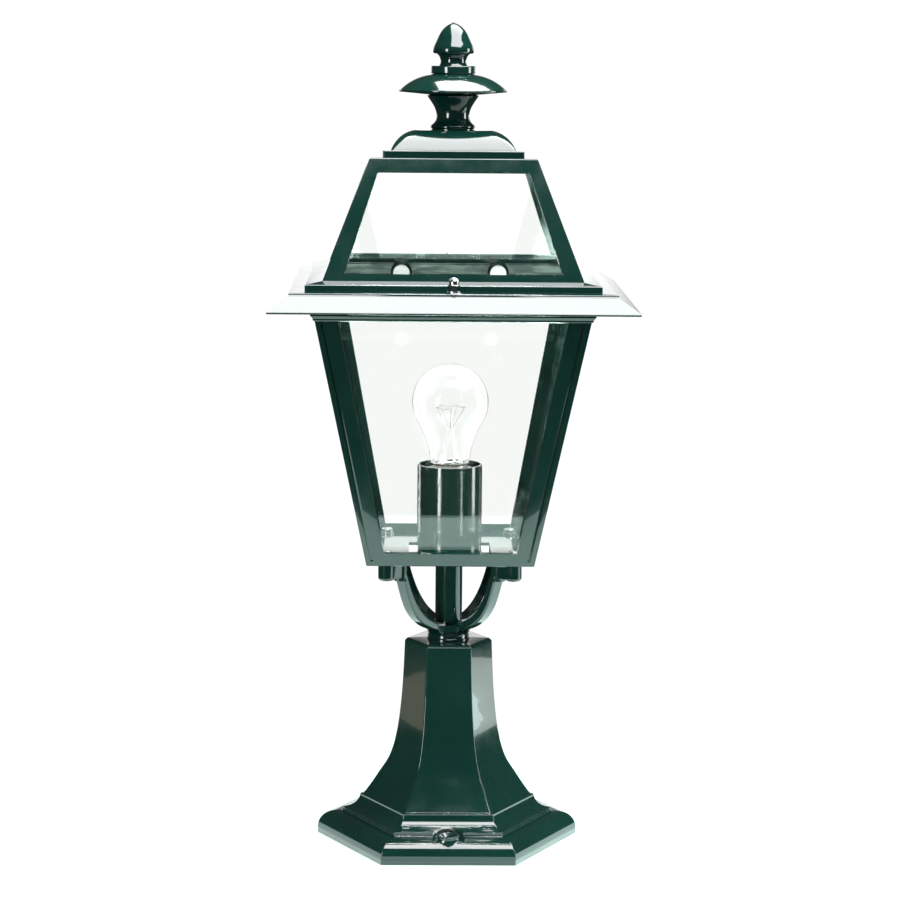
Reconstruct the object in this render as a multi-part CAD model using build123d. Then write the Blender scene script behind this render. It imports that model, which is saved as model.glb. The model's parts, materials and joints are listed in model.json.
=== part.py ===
from build123d import *
import math
import os

# Pedestal garden lantern: a hexagonal hollow pedestal, a four-armed yoke, a square tapering
# lantern body with four panes, a lift-off roof with four panes, and a turned finial.
# Millimetres, +Z up, origin at the centre of the pedestal's foot, front towards -Y.

os.makedirs("parts", exist_ok=True)

# ---- Driving dimensions -------------------------------------------------------------------

REACH = 400.0  # longer than the lantern is wide, for cutters and mitred bars
SQUARE = (0.0, 90.0)  # directions of the opposite side pairs of a square plan
HEXAGON = (30.0, 90.0, 150.0)  # the same for a hexagon with a flat side to the front

# Pedestal: distances of the flat sides from the axis
FOOT_HALF = 90.0
FOOT_RIM_HEIGHT = 5.0
ROLL_RADIUS = 13.0
STEP_HALF, STEP_TOP = 72.7, 21.0
LEDGE_HALF, LEDGE_Z = 60.6, 31.0
COLUMN_FOOT_HALF = 58.0
COLUMN_TOP_HALF, COLUMN_TOP_Z, COLUMN_CAP_Z = 30.1, 160.0, 160.6
PEDESTAL_WALL = 4.5
PEDESTAL_TOP_PLATE = 8.0
FIXING_PCD, FIXING_HOLE_R, FIXING_BOSS_R = 156.0, 3.5, 8.9
FIXING_BOSS_TOP, FIXING_POCKET_R, COUNTERSINK = 20.6, 13.0, 2.5
FIXING_DIRECTIONS = (90.0, 270.0)

# Neck, stem and the hollow threaded rod that clamps them
COLLAR_R, COLLAR_TOP = 17.2, 167.0
HUB_TOP = 174.0
STEM_R, STEM_BORE_R = 10.65, 8.0
ROD_R, ROD_BORE_R = 5.0, 3.6
ROD_HOLE_R = 5.3
ROD_BOTTOM, ROD_TOP = 136.0, 250.0
ROD_NUT_AF, ROD_NUT_HEIGHT = 17.0, 5.0
WASHER_THICKNESS = 1.5

# Yoke: arms lie on the diagonals; pads carry the lantern body's corners
ARM_WIDTH = 11.0
PAD_OUTER, PAD_INNER = 49.3, 38.2
PAD_OUTER_R, PAD_INNER_R = 6.3, 5.5
PAD_BOTTOM = 217.0
YOKE_SCREW_R = 2.5

# Lantern body, a square frame that widens upwards
BODY_BOTTOM, BODY_TOP = 230.0, 436.0
BODY_FOOT_HALF = 64.7
BODY_SPREAD = 0.2  # growth of the half width for each millimetre of height
BODY_WALL = 5.0
FLANGE_THICKNESS, FLANGE_OPENING_HALF = 3.0, 45.0
CROWN_MOULD_Z, CROWN_MOULD_HALF = 423.0, 106.5
WINDOW_BOTTOM, WINDOW_TOP = 240.0, 423.0
WINDOW_BOTTOM_HALF, WINDOW_TOP_HALF = 51.0, 86.0
BEAD_WIDTH, GROOVE_WIDTH, GROOVE_DEPTH = 4.0, 2.2, 1.6
PANE_THICKNESS = 3.0
PANE_TOP = 425.0
FLOOR_THICKNESS = 2.5
FLOOR_TOP = BODY_BOTTOM + FLANGE_THICKNESS + FLOOR_THICKNESS
FLOOR_SLOT_X, FLOOR_SLOT_WIDTH = 28.5, 7.0
FLOOR_SLOT_FRONT, FLOOR_SLOT_REAR = -44.0, 8.0
STUD_Y, STUD_R, STUD_TOP = 117.0, 2.5, 453.5
GASKET_THICKNESS = 1.5
CLIP_THICKNESS = 1.2

# Roof: eave, two steps and a glazed frame
BRIM_HALF, BRIM_BOTTOM, BRIM_EDGE = 137.7, 431.5, 1.8
BRIM_TOP_HALF, BRIM_TOP_Z = 122.0, 443.6
LEDGE_TOP_Z = 446.2
TIER_HALF, TIER_TOP_Z = 110.5, 451.0
ROOF_FOOT_HALF, ROOF_FOOT_Z = 97.8, 452.7
ROOF_HEAD_HALF, ROOF_HEAD_Z = 63.5, 542.8
ROOF_WALL = 4.3
ROOF_WINDOW_BOTTOM, ROOF_WINDOW_TOP = 458.0, 533.0
ROOF_WINDOW_BOTTOM_HALF, ROOF_WINDOW_TOP_HALF = 81.8, 57.0
ROOF_PANE_BOTTOM, ROOF_PANE_TOP = 454.0, 537.0
ROOF_PLATE = 3.0
SEAT_Z = BODY_TOP + GASKET_THICKNESS
SEAT_THICKNESS = 3.0
SKIRT_HALF = 93.5
ROOF_TAPER = (ROOF_FOOT_HALF - ROOF_HEAD_HALF) / (ROOF_HEAD_Z - ROOF_FOOT_Z)
PLUG_X, PLUG_Z, PLUG_R = 39.4, 442.3, 6.7

# M5 domed nuts and their washers
CAP_NUT_AF, CAP_NUT_HEIGHT = 8.0, 10.0
WASHER_R, WASHER_THICK, WASHER_Z = 4.8, 1.0, 446.6

# Crown and finial
PLINTH_HALF, PLINTH_TOP = 53.7, 548.0
DOME_HALF, DOME_TOP = 47.6, 562.4
FINIAL_ROD_R = 3.0
DISC_R, DISC_Z, DISC_TOP = 42.0, 588.8, 605.0
FINIAL_TIP = 644.4

# Lamp: sleeve, E27 holder and a 60 mm bulb
SLEEVE_R, SLEEVE_WALL, SLEEVE_TOP = 25.5, 1.5, 300.0
HOLDER_R, HOLDER_TOP = 19.0, 297.0
BULB_TOP, BULB_LENGTH, BULB_R = 379.4, 105.0, 30.0
CAP_R = 13.1
BULB_BOTTOM = BULB_TOP - BULB_LENGTH
NECK_R, NECK_Z, GLASS_WALL = 15.5, 301.5, 0.8
CAP_RINGS, CAP_PITCH = 5, 3.63
SHELL_R = 14.2
TERMINAL_TOP, EARTH_X, EARTH_SCREW_R = 118.0, -17.0, 2.0
CLIP_X = (-45.0, 45.0)
ROOF_CLIP_X = (-30.0, 30.0)


# ---- Helpers ------------------------------------------------------------------------------

ON_BASE = (Align.CENTER, Align.CENTER, Align.MIN)


def turned(*edges):
    """Solid of revolution about Z from an outline of edges in (radius, height)."""
    outline = Curve() + list(edges)
    return revolve(Plane.XZ * make_face(outline), Axis.Z)


def rounded_corner(start, corner, end):
    """Arc that rounds off a square corner, from start to end in (radius, height)."""
    pull = math.sqrt(2) - 1
    middle = [(s + e) / 2 * (1 - pull) + c * pull for s, c, e in zip(start, corner, end)]
    return ThreePointArc(start, tuple(middle), end)


def spherical_cap(radius, drop, tip):
    """Arc from (radius, tip - drop) to the axis, on a sphere centred on the axis."""
    sphere = (radius ** 2 + drop ** 2) / (2 * drop)
    middle_z = tip - sphere + math.sqrt(sphere ** 2 - radius ** 2 / 4)
    return ThreePointArc((radius, tip - drop), (radius / 2, middle_z), (0, tip))


def rod(radius, bottom, top, x=0.0, y=0.0, bore=0.0):
    """Upright cylinder, with a bore where one is given."""
    height = top - bottom
    section = Circle(radius) - Circle(bore) if bore else Circle(radius)
    return Pos(x, y, bottom) * extrude(section, amount=height)


def hexagon_nut(across_flats, bottom, top, hole):
    """Plain hexagon nut with its top corners turned off at 30 degrees."""
    corner_r, height = across_flats / math.sqrt(3), top - bottom
    face_r = across_flats / 2 - 0.2
    nut = Pos(0, 0, bottom) * extrude(RegularPolygon(corner_r, 6), amount=height)
    cone = Pos(0, 0, bottom) * Cone(face_r + height * math.sqrt(3), face_r, height,
                                    align=ON_BASE)
    return (nut & cone) - rod(hole, bottom - 1, top + 1)


def mitred(directions, edges, bottom, top):
    """Solid of equal sides that meet in mitres, from one outline in (side distance, height)."""
    first, last = edges[0] @ 0, edges[-1] @ 1
    closing = Polyline((last.X, top), (0, top), (0, bottom), (first.X, bottom))
    half = make_face(Curve() + edges + [closing])
    section = half + mirror(half, about=Plane.YZ)
    bar = extrude(Plane.XZ * section, amount=REACH, both=True)
    solid = bar.rotate(Axis.Z, directions[0])
    for direction in directions[1:]:
        solid = solid & bar.rotate(Axis.Z, direction)
    return solid


def mitred_polygon(directions, *points):
    """The same, where the outline is straight lines through (side distance, height) points."""
    return mitred(directions, [Polyline(*points)], points[0][1], points[-1][1])


def all_sides(piece):
    """A piece made on the front side, repeated on the four sides."""
    return [piece.rotate(Axis.Z, angle) for angle in (0, 90, 180, 270)]


def side_plane(half, spread, height):
    """Plane in the front side's slanted face: X to the right, Y up the slope, Z outwards."""
    slope = math.hypot(1.0, spread)
    normal = (0, -1 / slope, -spread / slope)
    return Plane(origin=(0, -half, height), x_dir=(1, 0, 0), z_dir=normal)


def slanted_plate(spread, foot_half, foot_z, top_z, foot_width, top_width, inner, outer):
    """Flat trapezium in the front side, from `inner` to `outer` proud of the slanted face."""
    plane = side_plane(foot_half, spread, foot_z)
    length = (top_z - foot_z) * math.hypot(1.0, spread)
    shape = Polyline((-foot_width, 0), (foot_width, 0), (top_width, length),
                     (-top_width, length), close=True)
    plate = extrude(make_face(shape), amount=outer - inner)
    return plane * Pos(0, 0, inner) * plate


def save(shape, node):
    """Writes one node to its STEP file."""
    export_step(shape, f"parts/{node}.step")


def save_group(shapes, node):
    """Writes identical separate solids to one node's STEP file."""
    export_step(Compound(children=[s for shape in shapes for s in shape.solids()]),
                f"parts/{node}.step")


# ---- Pedestal -----------------------------------------------------------------------------

def pedestal():
    """Hollow hexagonal casting: rolled foot, stepped cove and a flared column."""
    roll_half = FOOT_HALF - ROLL_RADIUS
    roll_top = FOOT_RIM_HEIGHT + ROLL_RADIUS
    outline = [
        Line((FOOT_HALF, 0), (FOOT_HALF, FOOT_RIM_HEIGHT)),
        rounded_corner((FOOT_HALF, FOOT_RIM_HEIGHT), (FOOT_HALF, roll_top),
                       (roll_half, roll_top)),
        Polyline((roll_half, roll_top), (STEP_HALF, roll_top), (STEP_HALF, STEP_TOP)),
        ThreePointArc((STEP_HALF, STEP_TOP), (64.4, 24.4), (LEDGE_HALF, LEDGE_Z)),
        Polyline((LEDGE_HALF, LEDGE_Z), (LEDGE_HALF, LEDGE_Z + 1.2),
                 (COLUMN_FOOT_HALF, LEDGE_Z + 1.6)),
        Spline((COLUMN_FOOT_HALF, LEDGE_Z + 1.6), (48.4, 50.6), (40.4, 64.0), (35.4, 83.0),
               (32.7, 106.0), (COLUMN_TOP_HALF, COLUMN_TOP_Z - 2)),
        Polyline((COLUMN_TOP_HALF, COLUMN_TOP_Z - 2), (COLUMN_TOP_HALF - 1.8, COLUMN_TOP_Z),
                 (COLLAR_R - 2, COLUMN_CAP_Z)),
    ]
    body = mitred(HEXAGON, outline, 0, COLUMN_CAP_Z)
    hollow_top = COLUMN_TOP_Z - PEDESTAL_TOP_PLATE
    wall = PEDESTAL_WALL
    hollow = mitred(HEXAGON, [
        Polyline((FOOT_HALF - wall, -1), (FOOT_HALF - wall, FOOT_RIM_HEIGHT),
                 (STEP_HALF - 1, roll_top - wall), (LEDGE_HALF - 4, LEDGE_Z - wall)),
        Spline((LEDGE_HALF - 4, LEDGE_Z - wall), (41.8, 50.6), (35.1, 64.0), (30.6, 83.0),
               (28.2, 106.0), (COLUMN_TOP_HALF - wall, hollow_top)),
    ], -1, hollow_top)
    bosses = [Pos(FIXING_PCD / 2 * math.cos(math.radians(angle)),
                  FIXING_PCD / 2 * math.sin(math.radians(angle)), 0)
              for angle in FIXING_DIRECTIONS]
    shell = body - hollow
    pocket_floor = roll_top - 1.5
    for place in bosses:
        shell = shell - place * rod(FIXING_POCKET_R, pocket_floor, LEDGE_Z - 1.5)
        shell = shell + place * (rod(FIXING_POCKET_R + 2, pocket_floor - 4, pocket_floor)
                                 & place.inverse() * body)
        shell = shell + place * fillet(
            rod(FIXING_BOSS_R, 0, FIXING_BOSS_TOP).edges().group_by(Axis.Z)[-1], 0.8)
        shell = shell - place * rod(FIXING_HOLE_R, -1, FIXING_BOSS_TOP + 1)
        shell = shell - place * Pos(0, 0, FIXING_BOSS_TOP - COUNTERSINK) * Cone(
            FIXING_HOLE_R, FIXING_BOSS_R - 1.6, COUNTERSINK, align=ON_BASE)
    shell = shell - rod(EARTH_SCREW_R, hollow_top - 1, hollow_top + 4, x=EARTH_X)
    return shell - rod(ROD_HOLE_R, hollow_top - 1, COLUMN_TOP_Z + 4)


# ---- Neck, stem and clamping rod ----------------------------------------------------------

def neck_collar():
    """Turned collar with a waist, between the pedestal and the yoke."""
    bottom = COLUMN_CAP_Z
    waist = COLLAR_R - 1.0
    return turned(
        Polyline((ROD_HOLE_R, bottom), (COLLAR_R, bottom), (COLLAR_R, bottom + 0.8)),
        ThreePointArc((COLLAR_R, bottom + 0.8), (waist, bottom + 3.2), (COLLAR_R, COLLAR_TOP)),
        Polyline((COLLAR_R, COLLAR_TOP), (ROD_HOLE_R, COLLAR_TOP), (ROD_HOLE_R, bottom)))


def stem_tube():
    """Spacer tube that carries the lantern's floor above the yoke hub."""
    return rod(STEM_R, HUB_TOP, BODY_BOTTOM + FLANGE_THICKNESS, bore=STEM_BORE_R)


def threaded_rod():
    """Hollow lamp rod that runs from inside the pedestal to the lampholder."""
    return rod(ROD_R, ROD_BOTTOM, ROD_TOP, bore=ROD_BORE_R)


def rod_nut(bottom):
    """Nut on the hollow rod."""
    return hexagon_nut(ROD_NUT_AF, bottom, bottom + ROD_NUT_HEIGHT, ROD_R)


# ---- Yoke ---------------------------------------------------------------------------------

def yoke():
    """Casting with a hub and four curved arms on the diagonals, each ending in a double pad."""
    root2 = math.sqrt(2)
    pad_inner, pad_outer = PAD_INNER * root2, PAD_OUTER * root2
    outer_side = Spline((12.0, COLLAR_TOP), (19.5, 169.2), (34.2, 177.0), (43.5, 187.0),
                        (50.3, 201.2), (pad_inner + 2.2, 219.0))
    inner_side = Spline((pad_inner - 2.8, 219.0), (44.5, 202.5), (37.4, 190.8),
                        (29.5, 182.6), (18.0, 176.2), (9.0, HUB_TOP))
    arm_face = make_face(Curve() + [
        outer_side, Line(outer_side @ 1, inner_side @ 0), inner_side,
        Polyline(inner_side @ 1, (0, HUB_TOP), (0, COLLAR_TOP), outer_side @ 0)])
    arm = extrude(Plane.XZ * arm_face, amount=ARM_WIDTH / 2, both=True)
    rounded = arm.edges().filter_by(lambda edge: edge.geom_type == GeomType.BSPLINE)
    arm = fillet(rounded, 1.7)
    web_width = 2 * PAD_INNER_R - 2.4
    web = Pos((pad_inner + pad_outer) / 2, 0, PAD_BOTTOM) * extrude(
        Rectangle(pad_outer - pad_inner, web_width), amount=BODY_BOTTOM - PAD_BOTTOM)
    outer_lobe = rod(PAD_OUTER_R, PAD_BOTTOM - 1, BODY_BOTTOM, x=pad_outer)
    outer_lobe = fillet(outer_lobe.edges().group_by(Axis.Z)[0], 2.6)
    inner_lobe = rod(PAD_INNER_R, PAD_BOTTOM - 3, BODY_BOTTOM, x=pad_inner)
    one = arm + web + outer_lobe + inner_lobe
    casting = rod(COLLAR_R - 0.6, COLLAR_TOP, HUB_TOP - 1)
    for angle in (45, 135, 225, 315):
        casting = casting + one.rotate(Axis.Z, angle)
    casting = casting - rod(ROD_HOLE_R, COLLAR_TOP - 1, HUB_TOP + 1)
    casting = casting - rod(STEM_R + 3, HUB_TOP, HUB_TOP + 8)
    for x in (-PAD_OUTER, PAD_OUTER):
        for y in (-PAD_OUTER, PAD_OUTER):
            casting = casting - rod(YOKE_SCREW_R, PAD_BOTTOM + 3, BODY_BOTTOM + 1, x, y)
    return casting


def at_pads(piece):
    """A piece repeated at the four outer pads."""
    return [Pos(x, y, 0) * piece for x in (-PAD_OUTER, PAD_OUTER) for y in (-PAD_OUTER, PAD_OUTER)]


def yoke_screw():
    """Pan-head screw with a slot, down through floor and flange into a pad's blind hole."""
    seat = FLOOR_TOP + WASHER_THICK
    head = fillet(rod(4.2, seat, seat + 3.2).edges().group_by(Axis.Z)[-1], 1.4)
    slot = Pos(0, 0, seat + 3.2) * Box(9, 1.2, 2.8)
    return head + rod(YOKE_SCREW_R, PAD_BOTTOM + 3, seat) - slot


# ---- Lantern body -------------------------------------------------------------------------

def body_half(height):
    """Half width of the tapering body, outside, at a height."""
    return BODY_FOOT_HALF + BODY_SPREAD * (height - BODY_BOTTOM)


def corner_groove(hand):
    """Cutter for the groove that sets a bead off at one corner of the front side."""
    foot_z, top_z = BODY_BOTTOM + 4, CROWN_MOULD_Z
    length = (top_z - foot_z) * math.hypot(1.0, BODY_SPREAD)
    near, far = BEAD_WIDTH, BEAD_WIDTH + GROOVE_WIDTH
    foot, top = body_half(foot_z), body_half(top_z)
    strip = Polyline((hand * (foot - far), 0), (hand * (foot - near), 0),
                     (hand * (top - near), length), (hand * (top - far), length), close=True)
    cutter = extrude(make_face(strip), amount=GROOVE_DEPTH + 3)
    return side_plane(foot, BODY_SPREAD, foot_z) * Pos(0, 0, -GROOVE_DEPTH) * cutter


def body_frame():
    """Tapering frame: bottom rail with an inner flange, four posts and a moulded top rail."""
    mould_foot = body_half(CROWN_MOULD_Z)
    solid = mitred(SQUARE, [
        Polyline((BODY_FOOT_HALF - 0.8, BODY_BOTTOM), (BODY_FOOT_HALF, BODY_BOTTOM + 0.8),
                 (mould_foot, CROWN_MOULD_Z), (mould_foot + 1.2, CROWN_MOULD_Z + 0.6)),
        ThreePointArc((mould_foot + 1.2, CROWN_MOULD_Z + 0.6),
                      (mould_foot + 1.8, CROWN_MOULD_Z + 2.6),
                      (CROWN_MOULD_HALF, CROWN_MOULD_Z + 4.2)),
        Line((CROWN_MOULD_HALF, CROWN_MOULD_Z + 4.2), (CROWN_MOULD_HALF, BODY_TOP)),
    ], BODY_BOTTOM, BODY_TOP)
    lug = fillet(Box(18, 18, 4).edges().filter_by(Axis.Z), 3)
    for y in (2 - STUD_Y, STUD_Y - 2):
        solid = solid + Pos(0, y, BODY_TOP - 2) * lug
    inside_foot = BODY_BOTTOM + FLANGE_THICKNESS
    solid = solid - mitred_polygon(
        SQUARE, (body_half(inside_foot) - BODY_WALL, inside_foot),
        (body_half(BODY_TOP + 1) - BODY_WALL, BODY_TOP + 1))
    opening = 2 * FLANGE_OPENING_HALF
    solid = solid - Pos(0, 0, BODY_BOTTOM) * Box(opening, opening, 3 * FLANGE_THICKNESS)
    window = slanted_plate(BODY_SPREAD, body_half(WINDOW_BOTTOM), WINDOW_BOTTOM, WINDOW_TOP,
                           WINDOW_BOTTOM_HALF, WINDOW_TOP_HALF, -3 * BODY_WALL, 3 * BODY_WALL)
    for cutter in all_sides(window) + all_sides(corner_groove(-1)) + all_sides(corner_groove(1)):
        solid = solid - cutter
    for place in at_pads(rod(YOKE_SCREW_R + 0.2, BODY_BOTTOM - 1, inside_foot + 1)):
        solid = solid - place
    for y in (-STUD_Y, STUD_Y):
        solid = solid - rod(STUD_R, BODY_TOP - 6, BODY_TOP + 1, y=y)
    for x in CLIP_X:
        for shank in all_sides(body_clip_plane() * clip_screw_shank(x)):
            solid = solid - shank
    return solid


def floor_plate():
    """Floor that rests on the flange, with two drain slots and the rod's hole."""
    bottom = BODY_BOTTOM + FLANGE_THICKNESS
    side = 2 * (body_half(bottom) - BODY_WALL - 0.4)
    plate = Pos(0, 0, bottom + FLOOR_THICKNESS / 2) * Box(side, side, FLOOR_THICKNESS)
    plate = plate - rod(ROD_HOLE_R, bottom - 1, bottom + 5)
    length = FLOOR_SLOT_REAR - FLOOR_SLOT_FRONT
    middle = (FLOOR_SLOT_REAR + FLOOR_SLOT_FRONT) / 2
    for x in (-FLOOR_SLOT_X, FLOOR_SLOT_X):
        plate = plate - Pos(x, middle, bottom) * Box(FLOOR_SLOT_WIDTH, length, 10)
    for place in at_pads(rod(YOKE_SCREW_R + 0.2, bottom - 1, bottom + 5)):
        plate = plate - place
    return plate


def body_pane():
    """Front glass pane, behind the frame, standing on the floor."""
    foot_z = FLOOR_TOP + 0.6
    depth = BODY_WALL / math.hypot(1.0, BODY_SPREAD)
    margin = BODY_WALL + PANE_THICKNESS + 0.8
    return slanted_plate(BODY_SPREAD, body_half(foot_z), foot_z, PANE_TOP,
                         body_half(foot_z) - margin, body_half(PANE_TOP) - margin,
                         -depth - PANE_THICKNESS, -depth)


def clip_strip(outline, width):
    """Bent strip from an outline in (up the slope, outwards), centred on its side plane."""
    return extrude(Plane.YZ * make_face(outline), amount=width / 2, both=True)


def body_pane_clip(x):
    """Stepped clip that holds a body pane's top edge against the frame."""
    step = PANE_THICKNESS + CLIP_THICKNESS
    strip = clip_strip(Polyline(
        (0, -PANE_THICKNESS), (5, -PANE_THICKNESS), (5, 0), (11.5, 0), (11.5, -CLIP_THICKNESS),
        (5 + CLIP_THICKNESS, -CLIP_THICKNESS), (5 + CLIP_THICKNESS, -step), (0, -step),
        close=True), 10)
    return body_clip_plane() * (Pos(x, 0, 0) * strip - clip_screw_shank(x))


def clip_screw_shank(x):
    """Shank of a clip screw, in the clip's plane."""
    return Pos(x, 9, (2.8 - CLIP_THICKNESS) / 2) * Cylinder(1.2, 2.8 + CLIP_THICKNESS)


def body_clip_plane():
    """Plane on the frame's inner face, 4 mm below the panes' top edge."""
    clip_z = PANE_TOP - 4
    depth = BODY_WALL / math.hypot(1.0, BODY_SPREAD)
    return side_plane(body_half(clip_z), BODY_SPREAD, clip_z) * Pos(0, 0, -depth)


def body_clip_screw(x):
    """Pan-head screw through a clip into the frame."""
    head = Pos(x, 9, -CLIP_THICKNESS - 0.8) * Cylinder(2.0, 1.6)
    return body_clip_plane() * (head + clip_screw_shank(x))


def roof_gasket():
    """Square sealing ring between the body's top and the roof's seat."""
    inner, outer = body_half(BODY_TOP) - BODY_WALL + 0.6, CROWN_MOULD_HALF - 0.8
    ring = Rectangle(2 * outer, 2 * outer) - Rectangle(2 * inner, 2 * inner)
    return Pos(0, 0, BODY_TOP) * extrude(ring, amount=GASKET_THICKNESS)


def roof_studs():
    """Studs screwed into the lugs at the front and the rear."""
    return [chamfer(rod(STUD_R, BODY_TOP - 6, STUD_TOP, y=y).edges().group_by(Axis.Z)[-1], 0.5)
            for y in (-STUD_Y, STUD_Y)]


# ---- Roof ---------------------------------------------------------------------------------

def roof_half(height):
    """Half width of the glazed roof frame, outside, at a height."""
    return ROOF_FOOT_HALF - ROOF_TAPER * (height - ROOF_FOOT_Z)


def plug_seats():
    """Round bosses inside the four sides for the breather plugs, and their recesses."""
    boss_r = PLUG_R + 2.0
    front, back = SKIRT_HALF - 1, SKIRT_HALF + 7.5
    bosses, recesses = [], []
    for x in (-PLUG_X, PLUG_X):
        low = Pos(x, -(front + SKIRT_HALF + 3) / 2, PLUG_Z + 0.9) * Rot(90, 0, 0)
        high = Pos(x, -(front + back) / 2, PLUG_Z + 0.9) * Rot(90, 0, 0)
        above_seat = Pos(x, -front, SEAT_Z + SEAT_THICKNESS - 0.5) * Box(
            4 * boss_r, 40, 2 * boss_r, align=ON_BASE)
        boss = low * Cylinder(boss_r, SKIRT_HALF + 3 - front)
        bosses += all_sides(boss + (high * Cylinder(boss_r, back - front) & above_seat))
        recess = Pos(x, -front, PLUG_Z) * Rot(90, 0, 0) * Cylinder(PLUG_R, 5.0)
        recesses += all_sides(recess)
    return bosses, recesses


def roof_casting():
    """Eave, steps and glazed frame cast in one, hollow below, with a flat head."""
    solid = mitred_polygon(
        SQUARE, (BRIM_HALF - 0.6, BRIM_BOTTOM), (BRIM_HALF, BRIM_BOTTOM + 0.4),
        (BRIM_HALF, BRIM_BOTTOM + BRIM_EDGE), (BRIM_TOP_HALF, BRIM_TOP_Z),
        (BRIM_TOP_HALF, LEDGE_TOP_Z - 1.1), (BRIM_TOP_HALF - 0.7, LEDGE_TOP_Z - 0.5),
        (TIER_HALF, LEDGE_TOP_Z), (TIER_HALF, TIER_TOP_Z - 0.7),
        (TIER_HALF - 0.7, TIER_TOP_Z), (ROOF_FOOT_HALF, ROOF_FOOT_Z),
        (ROOF_HEAD_HALF, ROOF_HEAD_Z - 0.8), (ROOF_HEAD_HALF - 0.8, ROOF_HEAD_Z))
    seat_top = SEAT_Z + SEAT_THICKNESS
    inside = mitred_polygon(
        SQUARE, (SKIRT_HALF, BRIM_BOTTOM - 1), (SKIRT_HALF, seat_top),
        (SKIRT_HALF + 6.5, seat_top), (SKIRT_HALF + 6.5, ROOF_PANE_BOTTOM - 5),
        (roof_half(ROOF_PANE_BOTTOM) - ROOF_WALL - 4, ROOF_PANE_BOTTOM - 3),
        (roof_half(ROOF_PANE_BOTTOM) - ROOF_WALL - 4, ROOF_PANE_BOTTOM),
        (roof_half(ROOF_PANE_BOTTOM) - ROOF_WALL, ROOF_PANE_BOTTOM),
        (roof_half(ROOF_HEAD_Z - ROOF_PLATE) - ROOF_WALL, ROOF_HEAD_Z - ROOF_PLATE))
    lip, seat_outer = SKIRT_HALF + 3, CROWN_MOULD_HALF + 2
    under_brim = mitred_polygon(
        SQUARE, (BRIM_HALF - 3.4, BRIM_BOTTOM - 1), (BRIM_HALF - 3.4, BRIM_BOTTOM + 0.6),
        (BRIM_TOP_HALF - 3, BRIM_TOP_Z - 2), (BRIM_TOP_HALF - 3, BRIM_TOP_Z - 1))
    under_brim = under_brim - mitred_polygon(
        SQUARE, (lip, BRIM_BOTTOM - 2), (lip, SEAT_Z), (seat_outer, SEAT_Z),
        (seat_outer, BRIM_TOP_Z))
    solid = solid - inside - under_brim
    solid = solid - Pos(0, 0, BRIM_BOTTOM) * Box(2 * lip + 1, 2 * lip + 1, 3.0)
    bosses, recesses = plug_seats()
    for boss in bosses:
        solid = solid + boss
    for recess in recesses:
        solid = solid - recess
    window = slanted_plate(-ROOF_TAPER, roof_half(ROOF_WINDOW_BOTTOM), ROOF_WINDOW_BOTTOM,
                           ROOF_WINDOW_TOP, ROOF_WINDOW_BOTTOM_HALF, ROOF_WINDOW_TOP_HALF,
                           -3 * ROOF_WALL, 2 * ROOF_WALL)
    for cutter in all_sides(window):
        solid = solid - cutter
    for y in (-STUD_Y, STUD_Y):
        solid = solid + rod(WASHER_R + 0.4, LEDGE_TOP_Z - 2, WASHER_Z, y=y)
        solid = solid - rod(STUD_R + 0.4, SEAT_Z, WASHER_Z + 1, y=y)
    for x in ROOF_CLIP_X:
        for shank in all_sides(roof_screw_shank(x)):
            solid = solid - shank
    return solid - rod(FINIAL_ROD_R + 0.2, ROOF_HEAD_Z - ROOF_PLATE - 1, ROOF_HEAD_Z + 1)


def roof_pane():
    """Front roof pane, behind the frame, standing on the glazing ledge."""
    depth = ROOF_WALL / math.hypot(1.0, ROOF_TAPER)
    margin = ROOF_WALL + PANE_THICKNESS + 1.2
    inner = depth + PANE_THICKNESS
    foot_z = ROOF_PANE_BOTTOM + inner * ROOF_TAPER / math.hypot(1.0, ROOF_TAPER) + 0.2
    return slanted_plate(-ROOF_TAPER, roof_half(foot_z), foot_z, ROOF_PANE_TOP,
                         roof_half(foot_z) - margin, roof_half(ROOF_PANE_TOP) - margin,
                         -inner, -depth)


def roof_pane_clip(x):
    """Angle under the roof's head that stops a roof pane's top edge."""
    top = ROOF_HEAD_Z - ROOF_PLATE
    glass = roof_half(ROOF_PANE_TOP) - ROOF_WALL - PANE_THICKNESS * math.hypot(1, ROOF_TAPER)
    y = -(glass - 2.2)
    outline = Polyline((y, top), (y + 9, top), (y + 9, top - CLIP_THICKNESS),
                       (y + CLIP_THICKNESS, top - CLIP_THICKNESS),
                       (y + CLIP_THICKNESS, top - 5.5), (y, top - 5.5), close=True)
    return Pos(x, 0, 0) * clip_strip(outline, 8) - roof_screw_shank(x)


def roof_screw_y():
    """Distance of a roof clip's screw from the front side's centre plane."""
    glass = roof_half(ROOF_PANE_TOP) - ROOF_WALL - PANE_THICKNESS * math.hypot(1, ROOF_TAPER)
    return -(glass - 8.2)


def roof_screw_shank(x):
    """Shank of a roof clip's screw."""
    top = ROOF_HEAD_Z - ROOF_PLATE
    return rod(1.2, top - CLIP_THICKNESS, top + 2, x, roof_screw_y())


def roof_clip_screw(x):
    """Pan-head screw through the angle into the roof's head."""
    top = ROOF_HEAD_Z - ROOF_PLATE - CLIP_THICKNESS
    return rod(2.0, top - 1.6, top, x, roof_screw_y()) + roof_screw_shank(x)


def breather_plug(x):
    """Round nylon plug in its recess, seen from inside the roof."""
    plug = fillet(Cylinder(PLUG_R - 0.05, 3.0).edges(), 0.5)
    return Pos(x, -(SKIRT_HALF - 1 + 1.0), PLUG_Z) * Rot(90, 0, 0) * plug


# ---- Roof fixings -------------------------------------------------------------------------

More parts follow.
